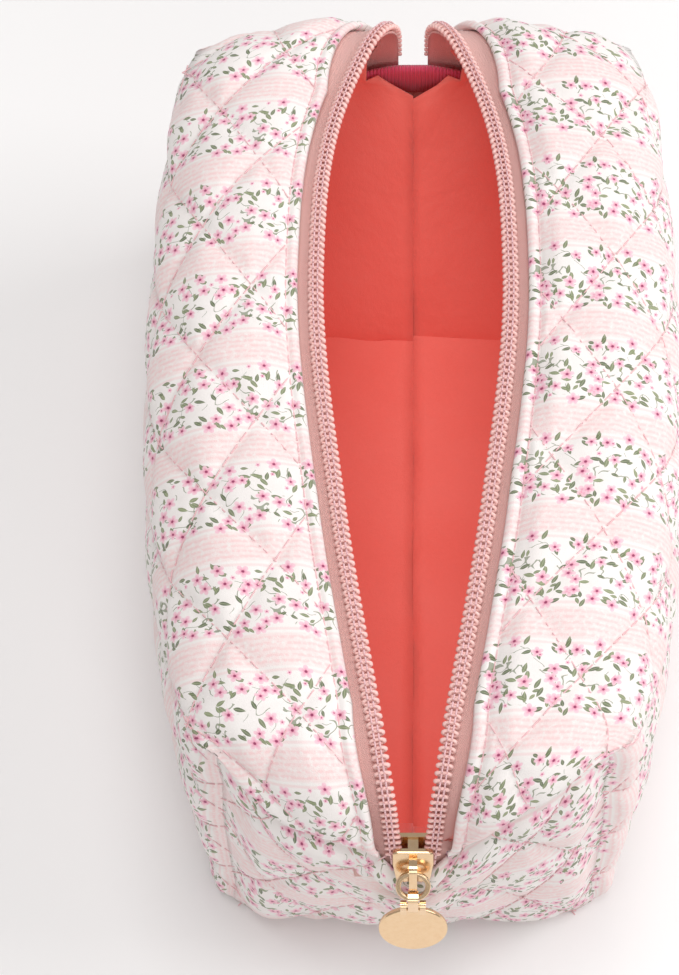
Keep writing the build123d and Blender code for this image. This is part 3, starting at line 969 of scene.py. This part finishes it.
def ribbon(name, line, across, half_width, material, bulge=0.0, side_name=None):
    """A flat ribbon along a line, bowed across its width by the bulge, and kept inside a panel when a side
    is given.
    """
    line = bent(line, 16)
    shares = np.linspace(-1, 1, 9)
    across = np.array(across, float)
    run = line_length(line)
    thick = np.array(bulge, float) if np.ndim(bulge) else np.zeros(3)
    rows = np.stack([line + across * half_width * s + thick * (1 - s * s) for s in shares], 1)
    points = rows.reshape(-1, 3)
    if side_name:
        points = kept_inside(points, side_name, 5.0)
    made = piece_of(name, points, ribbon_faces(len(line), len(shares), False).tolist(), [material])
    a = np.repeat(run, len(shares))
    b = np.tile(shares * half_width, len(line))
    with_cloth_map(made, a, b)
    return made, float(run[-1])


END_BINDINGS = {
    "far": ([(-37, 187.5, 54), (-27, 191.0, 56), (-15, 193.6, 59), (-5, 194.2, 61.5), (0, 194.0, 62.0),
             (5, 194.2, 61.5), (15, 193.6, 59), (27, 191.0, 56), (37, 187.5, 54)],
            (0, -0.12, 1), (0, -0.8, 0)),
    "near": ([(-33, -1.5, 55), (-20, -6.5, 54), (-8, -9.5, 53), (0, -10.0, 52.5), (8, -9.5, 53),
              (20, -6.5, 54), (33, -1.5, 55)], (0, 0.2, 1), (0, 0.8, 0)),
}
for end_name, (line, across, bulge) in END_BINDINGS.items():
    band, long = ribbon(f"end_ribbon_{end_name}", line, across, RIBBON_HALF, grosgrain, bulge)
    thicken(band, 1.3, 0.0)
    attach(band, "pouch")
    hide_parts(f"end_binding_{end_name}")
for end_name, y, corner_half in (("near", 6.5, 36.5), ("far", 172.0, 31.0)):
    for side_name, side in SIDES:
        lean = -1 if end_name == "far" else 1
        line = [(side * corner_half, y, 8), (side * (corner_half + 1), y + lean * 1.0, 20),
                (side * (corner_half + 3), y - lean * 1.5, 32),
                (side * (corner_half + 3.5), y - lean * 3, 42)]
        band, long = ribbon(f"corner_ribbon_{end_name}_{side_name}", line, (side * 0.75, -0.65 * lean, 0),
                            RIBBON_HALF, grosgrain, side_name=side_name)
        thicken(band, 1.2, 0.0)
        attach(band, "pouch")
        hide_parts(f"corner_binding_{end_name}_{side_name}")

# ---- the zip -----------------------------------------------------------------------
# Two woven tapes in pale pink, each with a nylon coil sewn along its inner edge by two rows of
# chain stitch. The tapes are sewn between panel and lining.
TAPE_INNER = 0.4
TAPE_OUTER = 10.6
TAPE_DEEP = 3.55
TAPE_THICK = 0.5
COIL_WIDTH = 2.9
COIL_MIDDLE_DEEP = 2.2
COIL_TALL = 1.75
COIL_PITCH = 1.71
COIL_WIRE = 0.82
COIL_FROM = 66.0
CHAIN_STITCH = (1.25, 0.46)
CHAIN_THREAD = 0.22

tape_finish, shader = finish_of("pink_zip_tape", Roughness=0.7, Sheen_Weight=0.3)
cloth = Tone.node("UVMap", {"uv_map": "cloth"})
a, b, _ = by_axis(cloth)
zigzag = (((a * 1.25).sum("FRACT") - 0.5).sum("ABSOLUTE") * 2.4 + b * 1.6).sum("FRACT")
rib = zigzag.step(0.2, 0.5) - zigzag.step(0.6, 0.95)
tone = mixed(rib * 0.55, colour(252, 194, 186), colour(255, 214, 207))
tone = mixed(noise(cloth, 0.8, 3.0) * 0.25, tone, colour(250, 182, 174))
feed(shader, Base_Color=tone, Normal=raised(rib, 0.00016))

nylon, shader = finish_of("pink_nylon", Roughness=0.38, Coat_Weight=0.15)
where = Tone.node("TexCoord", out=3)
feed(shader, Base_Color=mixed(noise(where, 700.0, 2.0), colour(252, 214, 207), colour(247, 196, 190)),
     Roughness=noise(where, 1800.0, 2.0) * 0.2 + 0.3)


def coil_turn():
    """One turn of the coil: a flattened loop lying across the tape, its head swelled at the inner edge."""
    t = np.linspace(0, 2 * math.pi, 22, endpoint=False)
    x = COIL_WIDTH / 2 * np.sign(np.cos(t)) * np.abs(np.cos(t)) ** 0.7
    z = (COIL_TALL - COIL_WIRE) / 2 * np.sign(np.sin(t)) * np.abs(np.sin(t)) ** 0.7
    slant = COIL_PITCH * 0.25 * np.sin(t)
    line = np.column_stack([x, slant, z])
    points, faces = [], []
    ring = 6
    for i, centre in enumerate(line):
        ahead = line[(i + 1) % len(line)] - line[i - 1]
        ahead /= np.linalg.norm(ahead)
        side_way = np.array([0, 1.0, 0])
        side_way -= ahead * side_way.dot(ahead)
        side_way /= np.linalg.norm(side_way)
        up = np.cross(ahead, side_way)
        swell = COIL_WIRE / 2 * (1 + 0.35 * max(0.0, -math.cos(t[i])) ** 6)
        for k in range(ring):
            turn_k = 2 * math.pi * k / ring
            points.append(centre + swell * (math.cos(turn_k) * side_way + math.sin(turn_k) * up))
    for i in range(len(line)):
        for k in range(ring):
            j, m = (i + 1) % len(line), (k + 1) % ring
            faces.append((i * ring + k, i * ring + m, j * ring + m, j * ring + k))
    return points, faces


def row_along(name, line, normals, item, pitch, material):
    """Copies of an item stood along a line by a node tree; one plain mesh comes back."""
    mesh = bpy.data.meshes.new(name + "_guide")
    run = line_length(line)
    count = int(run[-1] / pitch)
    spots = at_shares(line, (np.arange(count) + 0.5) / count)
    wanted = (np.arange(count) + 0.5) / count
    ups = np.stack([np.interp(wanted * run[-1], run, values) for values in normals.T], 1)
    ahead = np.gradient(spots, axis=0)
    mesh.from_pydata((spots * MM).tolist(), [], [])
    for label, values in (("ahead", ahead), ("up", ups)):
        layer = mesh.attributes.new(label, "FLOAT_VECTOR", "POINT")
        layer.data.foreach_set("vector", values.astype(np.float32).ravel())
    guide = bpy.data.objects.new(name, mesh)
    scene.collection.objects.link(guide)
    tree = tree_for(name, {"Size": "Float", "Item": "Object"})
    new, link = tree.nodes.new, tree.links.new
    given, done = new("NodeGroupInput"), new("NodeGroupOutput")
    info, place = new("GeometryNodeObjectInfo"), new("GeometryNodeInstanceOnPoints")
    first, second = new("FunctionNodeAlignEulerToVector"), new("FunctionNodeAlignEulerToVector")
    first.axis, second.axis, second.pivot_axis = "Y", "Z", "Y"
    real, finish = new("GeometryNodeRealizeInstances"), new("GeometryNodeSetMaterial")
    finish.inputs["Material"].default_value = material
    named = []
    for label in ("ahead", "up"):
        read = new("GeometryNodeInputNamedAttribute")
        read.data_type = "FLOAT_VECTOR"
        read.inputs["Name"].default_value = label
        named.append(read.outputs["Attribute"])
    link(named[0], first.inputs["Vector"])
    link(first.outputs[0], second.inputs["Rotation"])
    link(named[1], second.inputs["Vector"])
    link(given.outputs["Item"], info.inputs["Object"])
    link(given.outputs["Geometry"], place.inputs["Points"])
    link(info.outputs["Geometry"], place.inputs["Instance"])
    link(second.outputs[0], place.inputs["Rotation"])
    link(given.outputs["Size"], place.inputs["Scale"])
    link(place.outputs[0], real.inputs[0])
    link(real.outputs[0], finish.inputs["Geometry"])
    link(finish.outputs[0], done.inputs[0])
    made = grown(name, guide, tree, {"Size": 1.0, "Item": item})
    made.data.polygons.foreach_set("use_smooth", [True] * len(made.data.polygons))
    return made


turn_points, turn_faces = coil_turn()
for side_name, side in SIDES:
    spreads = np.linspace(TAPE_INNER, TAPE_OUTER, 13)
    rows, run = zip_strip(side, spreads, [TAPE_DEEP] * len(spreads))
    tape = piece_of(f"zip_tape_cloth_{side_name}", rows.reshape(-1, 3),
                    ribbon_faces(rows.shape[0], rows.shape[1], side < 0).tolist(), [tape_finish])
    with_cloth_map(tape, np.tile(spreads, len(run)), np.repeat(run, len(spreads)))
    thicken(tape, TAPE_THICK, 0.0)
    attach(tape, "pouch")
    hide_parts(f"zip_tape_{side_name}")

    line, run = zip_strip(side, [COIL_WIDTH / 2], [COIL_MIDDLE_DEEP], 600)
    line = line[:, 0]
    line = line[line[:, 2] > COIL_FROM]
    ahead = np.gradient(line, axis=0)
    normals = np.cross((1.0, 0, 0), ahead)
    normals /= np.linalg.norm(normals, axis=1, keepdims=True)
    turn = piece_of("coil_turn", np.array(turn_points) * (side, 1, 1),
                    [f[::-1] for f in turn_faces] if side < 0 else turn_faces)
    coil = row_along(f"nylon_coil_{side_name}", line, normals, turn, COIL_PITCH, nylon)
    bpy.data.objects.remove(turn)
    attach(coil, "pouch")
    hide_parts(f"zip_coil_{side_name}")

    chains = []
    for spread, deep in ((0.95, 1.05), (2.0, 1.05)):
        seam, run = zip_strip(side, [spread], [deep], 500)
        seam = seam[:, 0]
        seam = seam[seam[:, 2] > COIL_FROM]
        chains.append((seam, [(i, i + 1) for i in range(len(seam) - 1)]))
    chain = thread_along(f"coil_stitching_{side_name}", chains, CHAIN_STITCH, CHAIN_THREAD, pink_thread)
    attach(chain, "pouch")

# ---- the gold pull ----------------------------------------------------------------
# Slider, ring, link and disc are cast metal with a polished pale gold plate.
gold, shader = finish_of("pale_gold_plate", Metallic=1.0, Roughness=0.16)
where = Tone.node("TexCoord", out=3)
worn = noise(where, 900.0, 4.0)
feed(shader, Base_Color=mixed(worn, colour(240, 212, 176), colour(228, 192, 150)),
     Roughness=noise(where, 2600.0, 3.0) * 0.14 + 0.10,
     Normal=raised(noise(where, 1500.0, 2.0), 0.00001, 0.4))
for node in ("slider_body", "pull_ring", "pull_link", "pull_disc"):
    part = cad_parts[node]
    part.data.materials.clear()
    part.data.materials.append(gold)

size = {"cad_box": [list(corner) for corner in cad_box],
        "visual_box": [list(corner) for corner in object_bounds()]}
